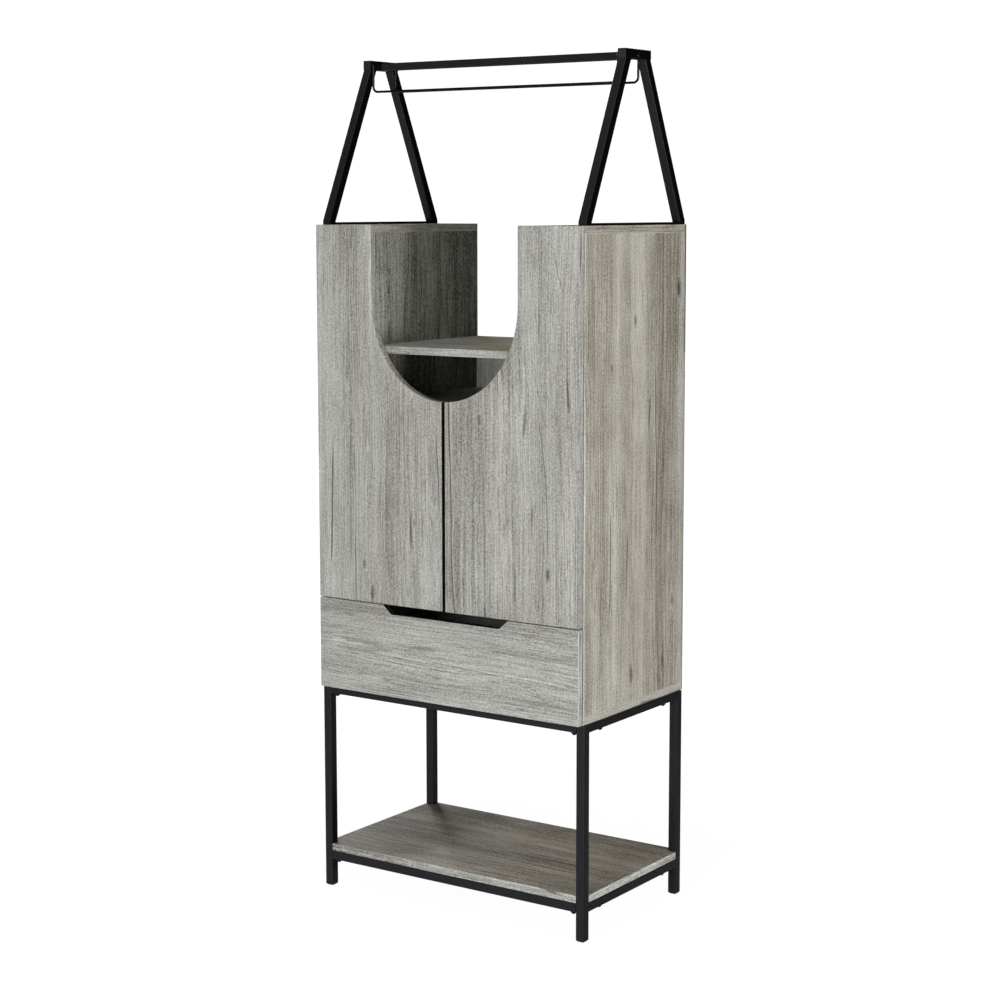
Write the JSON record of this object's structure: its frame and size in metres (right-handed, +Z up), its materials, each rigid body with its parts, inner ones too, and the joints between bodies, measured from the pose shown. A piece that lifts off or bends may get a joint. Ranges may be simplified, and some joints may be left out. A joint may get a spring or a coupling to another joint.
{
  "type": "wine cabinet",
  "caption": "Tall wine cabinet: metal frame with a lower shelf, drawer, two doors with a U-shaped opening onto a shelf, and an A-frame rack above for hanging stemmed glasses.",
  "frame": {"origin": "centre of the footprint on the floor: the middle of the bounding box underside", "axes": "+Z up; the doors and drawer face -Y; +X to the right seen from the front"},
  "size_m": [0.68, 0.42, 1.815],
  "materials": {
    "grey_wood": "grey-washed wood-grain laminate, matt",
    "black_steel": "black powder coat, satin",
    "black_plastic": "black moulded plastic",
    "zinc_steel": "zinc-plated steel",
    "hardboard": "thin fibreboard with a grey-wash printed face"
  },
  "bodies": {
    "cabinet": {"a_frame_left_base": "black_steel", "a_frame_left_block": "black_steel", "a_frame_left_front_leg": "black_steel", "a_frame_left_rear_leg": "black_steel", "a_frame_right_base": "black_steel", "a_frame_right_block": "black_steel", "a_frame_right_front_leg": "black_steel", "a_frame_right_rear_leg": "black_steel", "a_frame_screws": "black_steel", "back_lower": "hardboard", "back_upper_left": "hardboard", "back_upper_right": "hardboard", "bar_bolts": "black_steel", "block_plugs": "black_plastic", "bottom_board": "grey_wood", "cam_bolts": "zinc_steel", "cam_locks": "zinc_steel", "cap_board_left": "grey_wood", "cap_board_right": "grey_wood", "column_shelves": "grey_wood", "divider_board": "grey_wood", "foot_caps": "black_plastic", "glass_rod_front": "black_steel", "glass_rod_rear": "black_steel", "hinge_arms": "zinc_steel", "leg_front_left": "black_steel", "leg_front_right": "black_steel", "leg_rear_left": "black_steel", "leg_rear_right": "black_steel", "low_rail_front": "black_steel", "low_rail_left": "black_steel", "low_rail_rear": "black_steel", "low_rail_right": "black_steel", "lower_shelf": "grey_wood", "niche_shelf": "grey_wood", "partition_left": "grey_wood", "partition_right": "grey_wood", "rail_screws": "black_steel", "shelf_pins": "zinc_steel", "side_panel_left": "grey_wood", "side_panel_right": "grey_wood", "slide_outer": "zinc_steel", "top_bar": "black_steel", "top_rail_front": "black_steel", "top_rail_left": "black_steel", "top_rail_rear": "black_steel", "top_rail_right": "black_steel", "well_shelf": "grey_wood"},
    "door_left": {"door_left": "grey_wood", "hinge_cups_left": "zinc_steel"},
    "door_right": {"door_right": "grey_wood", "hinge_cups_right": "zinc_steel"},
    "drawer": {"drawer_front": "grey_wood", "drawer_side_left": "grey_wood", "drawer_side_right": "grey_wood", "drawer_back": "grey_wood", "drawer_bottom": "hardboard", "slide_inner": "zinc_steel"},
    "slide_carriage": {"slide_middle": "zinc_steel"}
  },
  "joints": [
    {"name": "door_left_hinge", "type": "hinge", "parent": "cabinet", "child": "door_left", "pos_m": [-0.3345, -0.194, 1.05825], "axis": [0, 0, -1], "range_deg": [0, 105]},
    {"name": "door_right_hinge", "type": "hinge", "parent": "cabinet", "child": "door_right", "pos_m": [0.3345, -0.194, 1.05825], "axis": [0, 0, 1], "range_deg": [0, 105]},
    {"name": "drawer_slide", "type": "slide", "parent": "cabinet", "child": "drawer", "axis": [0, -1, 0], "range_m": [0, 0.3]},
    {"name": "slide_carriage_travel", "type": "slide", "parent": "cabinet", "child": "slide_carriage", "axis": [0, -1, 0], "range_m": [0, 0.15]}
  ],
  "couplings": [
    {"joint": "slide_carriage_travel", "follows": "drawer_slide", "ratio": 0.5}
  ]
}
